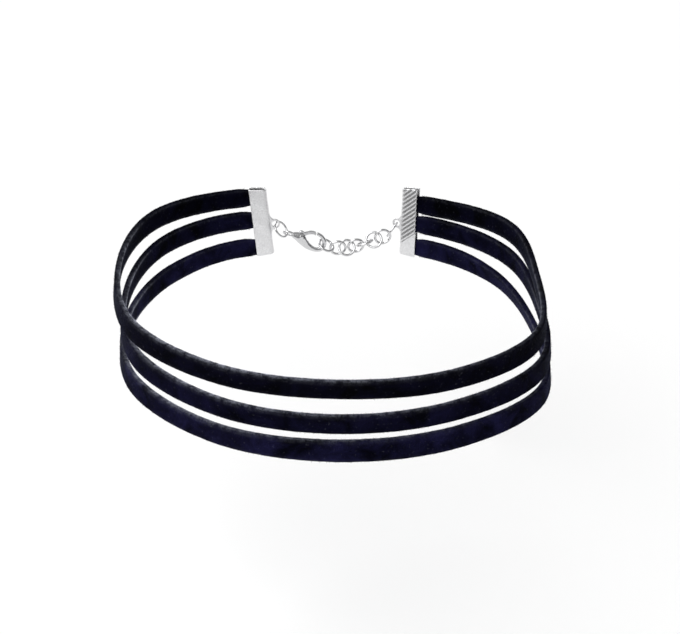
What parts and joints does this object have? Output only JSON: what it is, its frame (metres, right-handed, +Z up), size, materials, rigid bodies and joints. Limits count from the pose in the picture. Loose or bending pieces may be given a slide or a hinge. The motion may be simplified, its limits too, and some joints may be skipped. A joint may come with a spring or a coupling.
{
  "type": "choker necklace",
  "caption": "Choker necklace: flat velvet ribbon bands held in folded ribbon clamps, closed behind the neck by a lobster clasp hooked to a short extender chain.",
  "frame": {"origin": "on the axis of the neck that the choker goes round, halfway up its bands", "axes": "+Z up along the neck, -Y towards the throat side of the bands, +Y towards the clasp behind the neck, +X on the right of someone who looks at the throat"},
  "size_m": [0.1099, 0.1053, 0.0242],
  "materials": {
    "velvet_ribbon": "black velvet, matt",
    "satin_metal": "satin silver plate",
    "bright_metal": "bright silver plate"
  },
  "bodies": {
    "necklace": {"band_bottom": "velvet_ribbon", "band_middle": "velvet_ribbon", "band_top": "velvet_ribbon", "chain_link_01": "bright_metal", "chain_link_02": "bright_metal", "chain_link_03": "bright_metal", "chain_link_04": "bright_metal", "chain_link_05": "bright_metal", "chain_link_06": "bright_metal", "chain_link_07": "bright_metal", "clamp_left": "satin_metal", "clamp_right": "satin_metal", "clasp_body": "bright_metal", "jump_ring_left": "bright_metal", "jump_ring_right": "bright_metal"},
    "lever": {"clasp_lever": "bright_metal"}
  },
  "joints": [
    {"name": "clasp_lever_hinge", "type": "hinge", "parent": "necklace", "child": "lever", "pos_m": [-0.01209, 0.04777, -0.00458], "axis": [-0.1977, 0.963, -0.1833], "range_deg": [0, 25], "stiffness_Nm_per_rad": 0.01, "springref_deg": -5.73}
  ]
}
